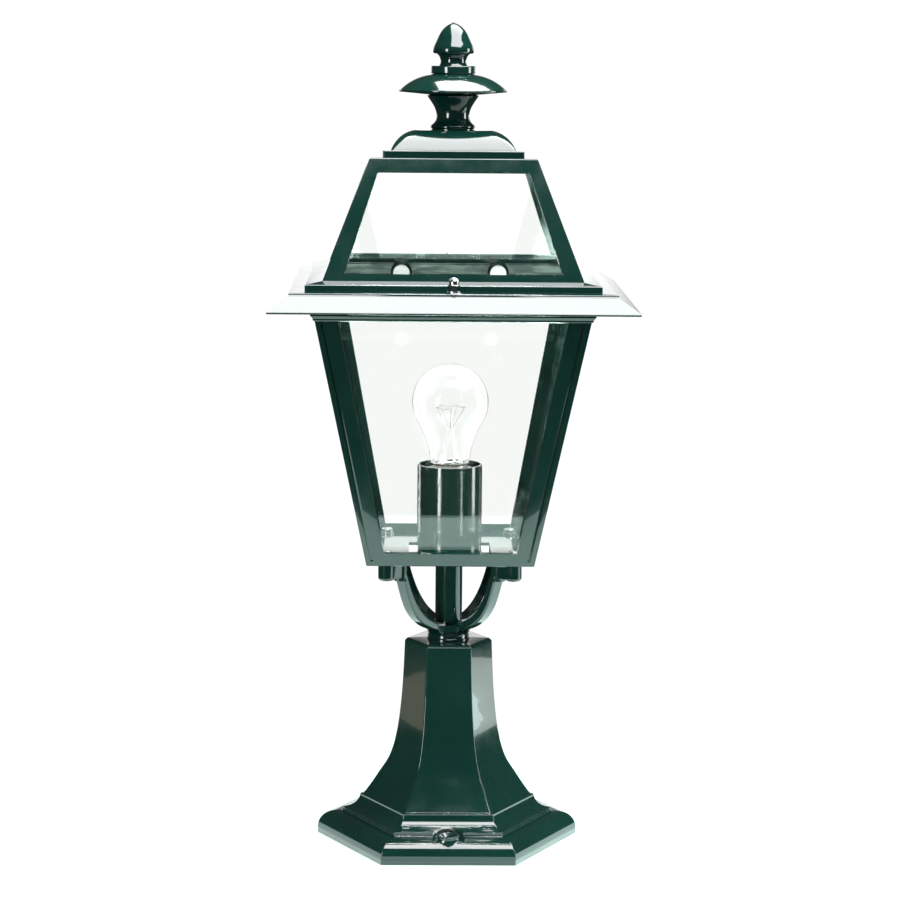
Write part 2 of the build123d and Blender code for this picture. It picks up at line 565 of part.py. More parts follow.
def cap_nut(y):
    """M5 domed nut on a stud, with a blind hole."""
    bottom = WASHER_Z + WASHER_THICK
    hexagon = hexagon_nut(CAP_NUT_AF, bottom, bottom + 4.6, 0.5)
    dome_r, dome_base = CAP_NUT_AF / 2 - 0.35, bottom + 4.2
    cap_top = bottom + CAP_NUT_HEIGHT
    dome = turned(
        Polyline((0, dome_base), (dome_r, dome_base), (dome_r, cap_top - 3.4)),
        spherical_cap(dome_r, 3.4, cap_top),
        Line((0, cap_top), (0, dome_base)))
    nut = hexagon + rod(1.0, bottom, bottom + 4.6) + dome
    return Pos(0, y, 0) * (nut - rod(STUD_R + 0.08, bottom - 1, STUD_TOP + 0.6))


def cap_nut_washer(y):
    """Plain washer under a domed nut."""
    return rod(WASHER_R, WASHER_Z, WASHER_Z + WASHER_THICK, y=y, bore=STUD_R + 0.35)


# ---- Crown and finial ---------------------------------------------------------------------

def crown():
    """Square plinth with a pillow-shaped dome, hollow below."""
    plinth = Pos(0, 0, ROOF_HEAD_Z) * extrude(
        RectangleRounded(2 * PLINTH_HALF, 2 * PLINTH_HALF, 1.2), amount=PLINTH_TOP - ROOF_HEAD_Z)
    plinth = fillet(plinth.edges().group_by(Axis.Z)[-1], 1.1)
    rise = DOME_TOP - PLINTH_TOP
    levels = [(0.0, 1.0, 2.0), (0.35, 0.944, 5.0), (0.7, 0.845, 9.0), (1.0, 0.665, 14.0)]
    sections = []
    for level, share, corner in levels:
        half = DOME_HALF * share
        sections.append(Pos(0, 0, PLINTH_TOP + level * rise) * RectangleRounded(
            2 * half, 2 * half, corner))
    dome = loft(sections)
    hollow = Pos(0, 0, ROOF_HEAD_Z - 1) * Box(
        72, 72, PLINTH_TOP - ROOF_HEAD_Z + 2, align=ON_BASE)
    return plinth + dome - hollow - rod(FINIAL_ROD_R + 0.2, ROOF_HEAD_Z, DOME_TOP + 1)


def finial_spindle():
    """Turned spindle: base bead, waist and a trumpet under the disc."""
    hole = FINIAL_ROD_R + 0.2
    base = DOME_TOP
    return turned(
        Polyline((hole, base), (16.6, base), (16.6, base + 0.4)),
        ThreePointArc((16.6, base + 0.4), (17.5, base + 2.0), (16.4, base + 3.6)),
        Spline((16.4, base + 3.6), (13.4, base + 7.4), (12.8, base + 11.2), (14.4, base + 16.8),
               (20.0, base + 25.6)),
        Polyline((20.0, base + 25.6), (18.6, DISC_Z), (hole, DISC_Z), (hole, base)))


def finial_disc():
    """Domed disc with a conical underside and a rounded rim."""
    hole = FINIAL_ROD_R + 0.2
    rim_z = DISC_Z + 3.6  # height of the disc's widest ring
    return turned(
        Polyline((hole, DISC_Z), (18.6, DISC_Z)),
        Spline((18.6, DISC_Z), (28.0, DISC_Z + 0.9), (DISC_R - 1.0, rim_z - 1.5)),
        ThreePointArc((DISC_R - 1.0, rim_z - 1.5), (DISC_R, rim_z - 0.4),
                      (DISC_R - 0.8, rim_z + 0.7)),
        ThreePointArc((DISC_R - 0.8, rim_z + 0.7), (30.0, DISC_TOP - 4.2), (14.0, DISC_TOP)),
        Polyline((14.0, DISC_TOP), (hole, DISC_TOP), (hole, DISC_Z)))


def finial_bud():
    """Ring, neck and pointed bud turned in one, with a blind hole for the rod."""
    ring_r, neck_r, bud_r = 17.4, 10.2, 15.9
    ring_top, neck_z, bud_z = DISC_TOP + 6.0, DISC_TOP + 11.2, DISC_TOP + 16.6
    solid = turned(
        Polyline((0, DISC_TOP), (ring_r - 1, DISC_TOP)),
        rounded_corner((ring_r - 1, DISC_TOP), (ring_r, DISC_TOP), (ring_r, DISC_TOP + 1)),
        Line((ring_r, DISC_TOP + 1), (ring_r, ring_top - 1)),
        rounded_corner((ring_r, ring_top - 1), (ring_r, ring_top), (ring_r - 1, ring_top)),
        Line((ring_r - 1, ring_top), (neck_r + 1.0, ring_top)),
        ThreePointArc((neck_r + 1.0, ring_top), (neck_r, neck_z), (bud_r - 2.6, bud_z - 1.2)),
        Spline((bud_r - 2.6, bud_z - 1.2), (bud_r - 0.4, bud_z - 0.7), (bud_r, bud_z + 0.4),
               (bud_r - 1.8, bud_z + 6.9), (bud_r - 5.9, bud_z + 15.0), (bud_r - 10, bud_z + 19.4),
               (1.3, FINIAL_TIP - 1.0)),
        spherical_cap(1.3, 1.0, FINIAL_TIP),
        Line((0, FINIAL_TIP), (0, DISC_TOP)))
    return solid - rod(FINIAL_ROD_R, DISC_TOP - 1, DISC_TOP + 12)


# ---- Lamp ---------------------------------------------------------------------------------

def lamp_sleeve():
    """Plain sleeve round the lampholder, with a base clamped under the rod's upper nut."""
    wall = rod(SLEEVE_R, FLOOR_TOP, SLEEVE_TOP, bore=SLEEVE_R - SLEEVE_WALL)
    return wall + rod(SLEEVE_R, FLOOR_TOP, FLOOR_TOP + SLEEVE_WALL, bore=ROD_HOLE_R)


def lampholder_body():
    """Glazed holder, screwed on the hollow rod, with a cup for the thread shell."""
    bottom, cup_floor = ROD_TOP - 7, BULB_BOTTOM - 2
    holder = turned(
        Polyline((0, bottom), (12.0, bottom), (12.0, bottom + 7), (HOLDER_R, bottom + 12),
                 (HOLDER_R, HOLDER_TOP - 1.2), (HOLDER_R - 1.2, HOLDER_TOP),
                 (SHELL_R + 0.1, HOLDER_TOP), (SHELL_R + 0.1, cup_floor), (0, cup_floor),
                 (0, bottom)))
    return holder - rod(ROD_R, bottom - 1, ROD_TOP + 3)


def lampholder_shell():
    """Brass shell that takes the bulb's cap, as a plain ring inside the holder."""
    return rod(SHELL_R, BULB_BOTTOM + 1.5, HOLDER_TOP - 2, bore=SHELL_R - 0.5)


def lampholder_contact():
    """Springy centre contact below the bulb's tip."""
    floor_z = BULB_BOTTOM - 2
    strip = Pos(0, 0, floor_z + 1.3) * Box(16, 5, 0.5)
    feet = [Pos(x, 0, floor_z + 0.55) * Box(1.2, 5, 1.1) for x in (-7.4, 7.4)]
    return strip + feet[0] + feet[1]


def inner_lead():
    """Sheathed lead held inside the hollow rod, from the terminal block to the holder."""
    return rod(2.8, TERMINAL_TOP, ROD_TOP + 3)


def terminal_block():
    """Two-way terminal block on the end of the lead."""
    block = Pos(0, 0, TERMINAL_TOP - 9) * Box(22, 14, 18)
    block = fillet(block.edges().filter_by(Axis.Z), 2.0)
    for x in (-5.5, 5.5):
        block = block - rod(2.2, TERMINAL_TOP - 19, TERMINAL_TOP - 9, x)
        block = block - Pos(x, -5, TERMINAL_TOP - 5) * Rot(90, 0, 0) * Cylinder(1.8, 5)
        block = block - Pos(x, -5, TERMINAL_TOP - 13) * Rot(90, 0, 0) * Cylinder(1.8, 5)
    return block


def terminal_screws():
    """Clamp screws in the terminal block."""
    return [Pos(x, -4.5, z) * Rot(90, 0, 0) * Cylinder(1.75, 3)
            for x in (-5.5, 5.5) for z in (TERMINAL_TOP - 5, TERMINAL_TOP - 13)]


def earth_screw():
    """Screw up into the pedestal's top plate for the earth tag."""
    plate = COLUMN_TOP_Z - PEDESTAL_TOP_PLATE
    return (rod(3.4, plate - 3.4, plate - 1.0, x=EARTH_X)
            + rod(EARTH_SCREW_R, plate - 1.0, plate + 4, x=EARTH_X))


def earth_tag():
    """Ring tag between the earth screw's head and the plate."""
    plate = COLUMN_TOP_Z - PEDESTAL_TOP_PLATE
    ring = rod(3.8, plate - 1.0, plate, x=EARTH_X)
    blade = Pos(EARTH_X, 6.5, plate - 0.5) * Box(3.4, 8, 1.0)
    return ring + blade - rod(EARTH_SCREW_R, plate - 2, plate + 1, x=EARTH_X)


def bulb_outline(inset):
    """Bulb outline from the neck over the globe to the top, moved inwards by `inset`."""
    centre = BULB_TOP - BULB_R
    radius = BULB_R - inset
    join = math.radians(-32)
    join_point = (radius * math.cos(join), centre + radius * math.sin(join))
    side = math.radians(30)
    side_point = (radius * math.cos(side), centre + radius * math.sin(side))
    neck = Spline((NECK_R - inset, NECK_Z), (NECK_R + 0.9 - inset, NECK_Z + 9), join_point,
                  tangents=[(0.0, 1.0), (math.sin(-join), math.cos(join))])
    return neck, ThreePointArc(join_point, side_point, (0, centre + radius))


def bulb_glass():
    """Thin clear bulb, open at the neck."""
    neck, globe = bulb_outline(0.0)
    inner_neck, inner_globe = bulb_outline(GLASS_WALL)
    return turned(neck, globe, Line(globe @ 1, inner_globe @ 1), inner_globe, inner_neck,
                  Line(inner_neck @ 0, neck @ 0))


def bulb_cap():
    """Screw cap with five rolled rings for the thread, and a rolled collar for the glass."""
    bottom = BULB_BOTTOM + 3.0
    ring_foot = bottom + 1.0
    edges = [Polyline((CAP_R - 1.6, bottom), (CAP_R - 0.9, ring_foot))]
    for ring in range(CAP_RINGS):
        low = ring_foot + ring * CAP_PITCH
        edges.append(ThreePointArc((CAP_R - 0.9, low), (CAP_R, low + CAP_PITCH / 2),
                                   (CAP_R - 0.9, low + CAP_PITCH)))
    top = ring_foot + CAP_RINGS * CAP_PITCH
    edges.append(Polyline((CAP_R - 0.9, top), (CAP_R - 0.4, NECK_Z - 1.6),
                          (NECK_R - GLASS_WALL - 0.1, NECK_Z), (NECK_R - 1.6, NECK_Z),
                          (CAP_R - 1.7, NECK_Z - 2.4), (CAP_R - 1.7, bottom + 1.2),
                          (CAP_R - 3.0, bottom), (CAP_R - 1.6, bottom)))
    return turned(*edges)


def bulb_insulator():
    """Dark glass disc that carries the centre contact in the cap's end."""
    bottom = BULB_BOTTOM + 3.0
    return turned(Polyline((0, bottom - 2.0), (5.0, bottom - 2.0), (CAP_R - 3.2, bottom),
                           (CAP_R - 3.2, bottom + 1.0), (0, bottom + 1.0), (0, bottom - 2.0)))


def bulb_tip():
    """Soldered centre contact."""
    return Pos(0, 0, BULB_BOTTOM) * Cone(3.2, 4.4, 1.0, align=ON_BASE)


def bulb_stem():
    """Glass mount inside the bulb: flare, tube, pinch and support button."""
    return turned(Polyline((0, NECK_Z + 1), (9.0, NECK_Z + 1), (4.2, NECK_Z + 9),
                           (3.6, NECK_Z + 26), (1.6, NECK_Z + 30), (1.6, NECK_Z + 36),
                           (0, NECK_Z + 37), (0, NECK_Z + 1)))


def wire(start, end, radius):
    """Straight round wire between two points."""
    path = Line(start, end)
    return sweep(Plane(origin=path @ 0, z_dir=path % 0) * Circle(radius), path)


def bulb_filament():
    """Two support wires from the mount and the filament across their tips."""
    foot_z, tip_z = NECK_Z + 25, NECK_Z + 48
    wires = [wire((hand * 2.6, 0, foot_z), (hand * 12.0, 0, tip_z), 0.35) for hand in (-1, 1)]
    coil = wire((-12.4, 0, tip_z), (12.4, 0, tip_z), 0.6)
    return wires[0] + wires[1] + coil


# ---- Nodes --------------------------------------------------------------------------------

PLATE_UNDERSIDE = COLUMN_TOP_Z - PEDESTAL_TOP_PLATE
SLEEVE_BASE_TOP = FLOOR_TOP + SLEEVE_WALL

save(pedestal(), "pedestal")
save(neck_collar(), "neck_collar")
save(stem_tube(), "stem_tube")
save(threaded_rod(), "threaded_rod")
save(rod_nut(PLATE_UNDERSIDE - WASHER_THICKNESS - ROD_NUT_HEIGHT), "rod_nut_lower")
save(rod(ROD_NUT_AF / 2, PLATE_UNDERSIDE - WASHER_THICKNESS, PLATE_UNDERSIDE, bore=ROD_R),
     "rod_washer_lower")
save(rod_nut(SLEEVE_BASE_TOP), "rod_nut_upper")
save(yoke(), "yoke")
save_group(at_pads(yoke_screw()), "yoke_screws")
save_group(at_pads(rod(5.5, FLOOR_TOP, FLOOR_TOP + WASHER_THICK, bore=YOKE_SCREW_R)),
           "yoke_screw_washers")
save(body_frame(), "body_frame")
save(floor_plate(), "floor_plate")
for side, pane in zip(("front", "right", "rear", "left"), all_sides(body_pane())):
    save(pane, f"body_pane_{side}")
save_group([clip for x in CLIP_X for clip in all_sides(body_pane_clip(x))], "body_pane_clips")
save_group([screw for x in CLIP_X for screw in all_sides(body_clip_screw(x))],
           "body_clip_screws")
save(roof_gasket(), "roof_gasket")
save_group(roof_studs(), "roof_studs")

save(roof_casting(), "roof_casting")
for side, pane in zip(("front", "right", "rear", "left"), all_sides(roof_pane())):
    save(pane, f"roof_pane_{side}")
save_group([clip for x in ROOF_CLIP_X for clip in all_sides(roof_pane_clip(x))],
           "roof_pane_clips")
save_group([screw for x in ROOF_CLIP_X for screw in all_sides(roof_clip_screw(x))],
           "roof_clip_screws")
save_group([plug for x in (-PLUG_X, PLUG_X) for plug in all_sides(breather_plug(x))],
           "breather_plugs")
save(crown(), "crown")
save(finial_spindle(), "finial_spindle")
save(finial_disc(), "finial_disc")
save(finial_bud(), "finial_bud")
save(rod(FINIAL_ROD_R, ROOF_HEAD_Z - ROOF_PLATE - 9, DISC_TOP + 12), "finial_rod")
save(rod(6.0, ROOF_HEAD_Z - ROOF_PLATE - 1.6, ROOF_HEAD_Z - ROOF_PLATE, bore=FINIAL_ROD_R),
     "finial_washer")
save(hexagon_nut(10.0, ROOF_HEAD_Z - ROOF_PLATE - 6.6, ROOF_HEAD_Z - ROOF_PLATE - 1.6,
                 FINIAL_ROD_R), "finial_nut")

for side, y in (("front", -STUD_Y), ("rear", STUD_Y)):
    save(cap_nut(y), f"cap_nut_{side}")
    save(cap_nut_washer(y), f"cap_nut_washer_{side}")

save(lamp_sleeve(), "lamp_sleeve")
save(lampholder_body(), "lampholder_body")
save(lampholder_shell(), "lampholder_shell")
save(lampholder_contact(), "lampholder_contact")
save(inner_lead(), "inner_lead")
save(terminal_block(), "terminal_block")
save_group(terminal_screws(), "terminal_screws")
save(earth_screw(), "earth_screw")
save(earth_tag(), "earth_tag")

save(bulb_glass(), "bulb_glass")
save(bulb_cap(), "bulb_cap")
save(bulb_insulator(), "bulb_insulator")
save(bulb_tip(), "bulb_tip")
save(bulb_stem(), "bulb_stem")
save(bulb_filament(), "bulb_filament")
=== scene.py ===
import json
import math

import bmesh
import bpy
from mathutils import Matrix, Vector


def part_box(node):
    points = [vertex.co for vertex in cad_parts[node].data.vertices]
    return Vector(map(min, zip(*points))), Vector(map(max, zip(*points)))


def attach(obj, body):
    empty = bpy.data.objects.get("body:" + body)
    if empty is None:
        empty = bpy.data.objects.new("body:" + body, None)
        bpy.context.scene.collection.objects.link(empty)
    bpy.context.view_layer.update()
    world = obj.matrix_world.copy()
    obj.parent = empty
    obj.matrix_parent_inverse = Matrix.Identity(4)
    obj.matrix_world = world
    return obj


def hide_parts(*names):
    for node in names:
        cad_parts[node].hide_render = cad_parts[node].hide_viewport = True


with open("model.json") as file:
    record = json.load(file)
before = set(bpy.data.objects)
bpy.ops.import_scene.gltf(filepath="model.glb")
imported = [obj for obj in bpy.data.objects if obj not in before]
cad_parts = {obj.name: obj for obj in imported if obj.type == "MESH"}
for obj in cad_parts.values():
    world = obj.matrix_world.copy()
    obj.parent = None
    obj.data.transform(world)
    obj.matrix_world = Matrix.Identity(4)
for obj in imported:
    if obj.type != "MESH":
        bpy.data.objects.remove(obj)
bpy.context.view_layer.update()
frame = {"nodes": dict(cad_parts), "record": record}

# Looks of the pedestal garden lantern. Metres, +Z up, front towards -Y, origin at the foot's centre.

MM = 0.001
scene = bpy.context.scene
nodes = frame["nodes"]


# ---- Node helpers -------------------------------------------------------------------------

def new_material(name):
    """Empty node material with its output."""
    material = bpy.data.materials.new(name)
    material.use_nodes = True
    material.node_tree.nodes.clear()
    output = material.node_tree.nodes.new("ShaderNodeOutputMaterial")
    return material, material.node_tree, output


def add_node(tree, kind, settings=(), **sockets):
    """Node of a kind; settings are its attributes, sockets its inputs by name."""
    node = tree.nodes.new(kind)
    for name, value in dict(settings).items():
        setattr(node, name, value)
    for name, value in sockets.items():
        socket = node.inputs[name.replace("_", " ")]
        if isinstance(value, bpy.types.NodeSocket):
            tree.links.new(value, socket)
        else:
            socket.default_value = value
    return node


def noise(tree, scale, detail=2.0, roughness=0.5):
    """Solid noise in the piece's own coordinates, with features about 1/scale metres across."""
    place = add_node(tree, "ShaderNodeTexCoord").outputs["Object"]
    return add_node(tree, "ShaderNodeTexNoise", Vector=place, Scale=scale, Detail=detail,
                    Roughness=roughness).outputs["Fac"]


def ranged(tree, value, low, high, start=0.35, end=0.65):
    """Maps a noise to the range from low to high."""
    node = add_node(tree, "ShaderNodeMapRange", Value=value, From_Min=start, From_Max=end,
                    To_Min=low, To_Max=high)
    return node.outputs["Result"]


def blended(tree, factor, first, second):
    """Colour between two colours."""
    node = add_node(tree, "ShaderNodeMix", {"data_type": "RGBA"})
    tree.links.new(factor, node.inputs["Factor"])
    node.inputs[6].default_value = (*first, 1.0)
    node.inputs[7].default_value = (*second, 1.0)
    return node.outputs[2]


def bumped(tree, height, distance, strength=1.0, normal=None):
    """Bump from a height, with its depth in metres."""
    node = add_node(tree, "ShaderNodeBump", Height=height, Distance=distance, Strength=strength)
    if normal is not None:
        tree.links.new(normal, node.inputs["Normal"])
    return node.outputs["Normal"]


def principled(tree, output, **sockets):
    """Principled shader, joined to the output."""
    shader = add_node(tree, "ShaderNodeBsdfPrincipled", **sockets)
    tree.links.new(shader.outputs["BSDF"], output.inputs["Surface"])
    return shader


# ---- Materials ----------------------------------------------------------------------------

def green_paint(name, peel_depth, cast_depth):
    """Dark green gloss enamel: peel in the clear coat, casting unevenness and thin dust."""
    material, tree, output = new_material(name)
    tone = ranged(tree, noise(tree, 14.0, 4.0), 0.0, 1.0)
    color = blended(tree, tone, (0.0026, 0.0250, 0.0190), (0.0038, 0.0320, 0.0240))
    rough = ranged(tree, noise(tree, 55.0, 3.0), 0.10, 0.17)
    casting = bumped(tree, noise(tree, 95.0, 2.0), cast_depth)
    peel = bumped(tree, noise(tree, 620.0, 1.0), peel_depth, normal=casting)
    principled(tree, output, Base_Color=color, Roughness=rough, Normal=peel, Coat_Normal=peel,
               Coat_Weight=1.0, Coat_Roughness=0.02, IOR=1.5, Coat_IOR=1.5)
    return material


def metal(name, color, tarnish, roughness, grain):
    """Bare metal: two tones of finish, fine scratches and uneven polish."""
    material, tree, output = new_material(name)
    mottle = ranged(tree, noise(tree, 180.0, 4.0), 0.0, 1.0)
    rough = ranged(tree, noise(tree, 420.0, 3.0), roughness * 0.7, roughness * 1.4)
    principled(tree, output, Base_Color=blended(tree, mottle, color, tarnish), Metallic=1.0,
               Roughness=rough, Normal=bumped(tree, noise(tree, 900.0, 2.0), grain))
    return material


def plain_solid(name, color, shade, roughness, depth, scale=300.0, coat=0.0, painted_glow=0.0):
    """Plastic, rubber or glazed ceramic with slight mottling and a fine skin; a painted glow, where
    given, makes it shine as if lit from behind, though it is no lamp.
    """
    material, tree, output = new_material(name)
    mottle = ranged(tree, noise(tree, scale * 0.4, 3.0), 0.0, 1.0)
    rough = ranged(tree, noise(tree, scale, 2.0), roughness * 0.85, roughness * 1.2)
    principled(tree, output, Base_Color=blended(tree, mottle, color, shade), Roughness=rough,
               Normal=bumped(tree, noise(tree, scale * 2.0, 2.0), depth), Coat_Weight=coat,
               Coat_Roughness=0.04, Emission_Color=(*color, 1.0), Emission_Strength=painted_glow)
    return material


def clear_glass(name, tint, mirror, ior, waviness, rim=1.0):
    """Thin clear glass: what is behind it, tinted, and a mirror that strengthens at an angle.
    A rim below 1 darkens it where it is seen edge on."""
    material, tree, output = new_material(name)
    wave = bumped(tree, noise(tree, 9.0, 1.0), waviness)
    edge = add_node(tree, "ShaderNodeLayerWeight", Blend=0.5).outputs["Facing"]
    tone = blended(tree, ranged(tree, edge, 0.0, 1.0, start=0.72, end=0.93), tint,
                   [share * rim for share in tint])
    through = add_node(tree, "ShaderNodeBsdfTransparent", Color=tone)
    shine = add_node(tree, "ShaderNodeBsdfGlossy", Color=(*mirror, 1.0), Roughness=0.0,
                     Normal=wave)
    none = add_node(tree, "ShaderNodeBsdfTransparent", Color=(0.0, 0.0, 0.0, 1.0))
    facing = add_node(tree, "ShaderNodeFresnel", IOR=ior, Normal=wave).outputs["Fac"]
    coat = add_node(tree, "ShaderNodeMixShader")
    tree.links.new(facing, coat.inputs[0])
    tree.links.new(none.outputs["BSDF"], coat.inputs[1])
    tree.links.new(shine.outputs["BSDF"], coat.inputs[2])
    both = add_node(tree, "ShaderNodeAddShader")
    tree.links.new(through.outputs["BSDF"], both.inputs[0])
    tree.links.new(coat.outputs["Shader"], both.inputs[1])
    tree.links.new(both.outputs["Shader"], output.inputs["Surface"])
    return material


def glowing_band_sheet(name):
    """Grey-green sheet with uneven horizontal streaks, lighter and darker, and painted light: its
    pale colour and its glow stand in for the lit look of the band inside the roof's foot.
    """
    material, tree, output = new_material(name)
    place = add_node(tree, "ShaderNodeTexCoord").outputs["Object"]
    stretched = add_node(tree, "ShaderNodeMapping", Vector=place, Scale=(1.0, 1.0, 7.0))
    streaks = add_node(tree, "ShaderNodeTexNoise", Vector=stretched.outputs["Vector"], Scale=55.0,
                       Detail=3.0).outputs["Fac"]
    color = blended(tree, ranged(tree, streaks, 0.0, 1.0, start=0.40, end=0.60),
                    (0.10, 0.15, 0.13), (0.26, 0.36, 0.32))
    # painted light: a pale colour and a glow of its own, though the sheet is no lamp
    principled(tree, output, Base_Color=color, Roughness=0.55,
               Normal=bumped(tree, noise(tree, 300.0, 2.0), 8e-6),
               Emission_Color=color, Emission_Strength=0.55)
    return material


PAINT = green_paint("green_paint", 0.8e-6, 4.0e-6)
GLOW_STRIP_PAINT = glowing_band_sheet("glowing_band_sheet")
CAST_PAINT = green_paint("green_paint_casting", 1.6e-6, 1.6e-5)
MATERIALS = {
    "green_paint": PAINT,
    "zinc": metal("zinc", (0.60, 0.61, 0.60), (0.45, 0.46, 0.44), 0.38, 4e-6),
    "stainless": metal("stainless", (0.66, 0.66, 0.67), (0.56, 0.56, 0.56), 0.26, 2e-6),
    "polished_steel": metal("polished_steel", (0.80, 0.81, 0.82), (0.70, 0.71, 0.72), 0.09, 6e-7),
    "aluminium": metal("aluminium", (0.74, 0.75, 0.76), (0.64, 0.65, 0.66), 0.34, 3e-6),
    "brass": metal("brass", (0.70, 0.52, 0.22), (0.56, 0.40, 0.17), 0.25, 2e-6),
    "bulb_cap": metal("bulb_cap", (0.74, 0.74, 0.72), (0.62, 0.62, 0.60), 0.22, 2e-6),
    "solder": metal("solder", (0.55, 0.55, 0.57), (0.38, 0.38, 0.40), 0.35, 8e-6),
    "filament": metal("filament", (0.20, 0.20, 0.21), (0.12, 0.12, 0.12), 0.45, 1e-6),
    "glass": clear_glass("pane_glass", (0.9635, 0.970, 0.962), (1.0, 1.0, 1.0), 1.62, 8e-6),
    "bulb_glass": clear_glass("bulb_glass", (0.99, 0.99, 0.99), (0.5, 0.5, 0.5), 1.45, 4e-6,
                              rim=0.45),
    "black_glass": plain_solid("black_glass", (0.02, 0.015, 0.02), (0.035, 0.03, 0.035), 0.12,
                               2e-6, coat=0.6),
    "gasket_rubber": plain_solid("gasket_rubber", (0.022, 0.022, 0.022), (0.032, 0.032, 0.031),
                                 0.62, 1.5e-5),
    # painted glow: the white nylon plugs shine as if lit from behind, though they are no lamp
    "white_nylon": plain_solid("white_nylon", (0.92, 0.92, 0.91), (0.88, 0.88, 0.86), 0.38, 5e-6,
                               painted_glow=0.35),
    "porcelain": plain_solid("porcelain", (0.82, 0.81, 0.76), (0.76, 0.75, 0.69), 0.16, 1e-5,
                             scale=120.0, coat=0.8),
    "lead_sheath": plain_solid("lead_sheath", (0.075, 0.075, 0.076), (0.10, 0.10, 0.10), 0.48,
                               8e-6),
    "terminal_plastic": plain_solid("terminal_plastic", (0.80, 0.79, 0.74), (0.73, 0.72, 0.67),
                                    0.34, 8e-6),
}
SLOT_OF = {part["node"]: part["material_slot"] for part in frame["record"]["subparts"]}
for node_name, cad_object in nodes.items():
    cad_object.data.materials.clear()
    cad_object.data.materials.append(MATERIALS[SLOT_OF[node_name]])


# ---- Painted castings with softened edges ---------------------------------------------------

BODY_OF = {node: body for body, members in frame["record"]["behaviour"]["bodies"].items()
           for node in members}


def even_shading(piece):
    """Smooth shading that keeps the large faces flat."""
    shading = piece.modifiers.new("even_shading", "WEIGHTED_NORMAL")
    shading.mode = "FACE_AREA"
    shading.weight = 100
    shading.keep_sharp = False


def stands_for(piece, *node_names):
    """Puts a piece in the place of CAD nodes of one body."""
    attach(piece, BODY_OF[node_names[0]])
    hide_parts(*node_names)


WIDTH_FOR_RADIUS = 2.2  # a face at a rounded edge is at least this many radii wide


def softened(node_name, radius, material, segments=3, crease=25.0):
    """Copy of a CAD node with rounded edges, as enamel and casting leave them.
    Edges of faces too narrow for the radius, such as small chamfers, stay as they are."""
    mesh = nodes[node_name].data.copy()
    mesh.name = f"{node_name}_skin"
    shape = bmesh.new()
    shape.from_mesh(mesh)
    bmesh.ops.remove_doubles(shape, verts=shape.verts, dist=2e-6)
    bmesh.ops.dissolve_limit(shape, angle_limit=math.radians(0.2), verts=shape.verts,
                             edges=shape.edges, use_dissolve_boundaries=False)
    for face in shape.faces:
        face.smooth = True
    weight = shape.edges.layers.float.new("bevel_weight_edge")
    for edge in shape.edges:
        sharp = edge.is_manifold and edge.calc_face_angle() > math.radians(crease)
        smaller_area = min((face.calc_area() for face in edge.link_faces), default=0.0)
        wide = smaller_area > WIDTH_FOR_RADIUS * radius * edge.calc_length()
        edge[weight] = float(sharp and wide)
    shape.to_mesh(mesh)
    shape.free()
    mesh.materials.clear()
    mesh.materials.append(material)
    piece = bpy.data.objects.new(f"{node_name}_skin", mesh)
    scene.collection.objects.link(piece)
    bevel = piece.modifiers.new("soft_edges", "BEVEL")
    bevel.width = radius
    bevel.segments = segments
    bevel.limit_method = "WEIGHT"
    bevel.miter_outer = "MITER_ARC"
    even_shading(piece)
    stands_for(piece, node_name)
    return piece


def new_piece(name, verts, faces, material):
    """Smooth mesh object from vertices in millimetres."""
    mesh = bpy.data.meshes.new(name)
    mesh.from_pydata([Vector(vert) * MM for vert in verts], [], faces)
    mesh.materials.append(material)
    for polygon in mesh.polygons:
        polygon.use_smooth = True
    piece = bpy.data.objects.new(name, mesh)
    scene.collection.objects.link(piece)
    return piece


def arc(centre, radius, start, end, steps):
    """Points on an arc, with angles in degrees."""
    angles = [math.radians(start + (end - start) * step / steps) for step in range(steps + 1)]
    return [(centre[0] + radius * math.cos(a), centre[1] + radius * math.sin(a)) for a in angles]


def eased(points, radius, steps=3):
    """Outline with its sharp corners rounded, by a radius or less where the sides are short."""
    outline = [points[0]]
    for before, corner, after in zip(points, points[1:], points[2:]):
        near, far = Vector(before) - Vector(corner), Vector(after) - Vector(corner)
        turn = math.pi - near.angle(far)
        if turn < math.radians(20):
            outline.append(corner)
            continue
        back = min(radius * math.tan(turn / 2), 0.45 * near.length, 0.45 * far.length)
        start = Vector(corner) + near.normalized() * back
        end = Vector(corner) + far.normalized() * back
        for step in range(steps + 1):
            t = step / steps
            outline.append(tuple(start * (1 - t) ** 2 + Vector(corner) * 2 * t * (1 - t)
                                 + end * t ** 2))
    return outline + [points[-1]]


def curve_through(points, steps=5):
    """Smooth curve through points, with several steps to each span."""
    ends = [points[0]] + list(points) + [points[-1]]
    curve = []
    for a, b, c, d in zip(ends, ends[1:], ends[2:], ends[3:]):
        a, b, c, d = Vector(a), Vector(b), Vector(c), Vector(d)
        for step in range(steps):
            t = step / steps
            curve.append(tuple(0.5 * (2 * b + (c - a) * t + (2 * a - 5 * b + 4 * c - d) * t ** 2
                                      + (3 * b - a - 3 * c + d) * t ** 3)))
    return curve + [tuple(points[-1])]


def rounded_hexagon(half, height, arris):
    """Ring of a hexagon with a flat side to the front and rounded corners."""
    ring = []
    for corner in range(6):
        angle = math.radians(60 * corner)
        reach = (half - arris) / math.cos(math.radians(30))
        centre = (reach * math.cos(angle), reach * math.sin(angle))
        for x, y in arc(centre, arris, 60 * corner - 30, 60 * corner + 30, 4):
            ring.append((x, y, height))
    return ring


def hexagonal_body(name, outline, arris, material):
    """Closed body swept round a hexagon from an outline of (half, height)."""
    rings = [rounded_hexagon(half, height, min(arris, half * 0.4)) for half, height in outline]
    count = len(rings[0])
    verts = [vert for ring in rings for vert in ring]
    faces = []
    for level in range(len(rings) - 1):
        low, high = level * count, (level + 1) * count
        for step in range(count):
            after = (step + 1) % count
            faces.append((low + step, low + after, high + after, high + step))
    faces.append(tuple(reversed(range(count))))
    faces.append(tuple(range(len(verts) - count, len(verts))))
    return new_piece(name, verts, faces, material)


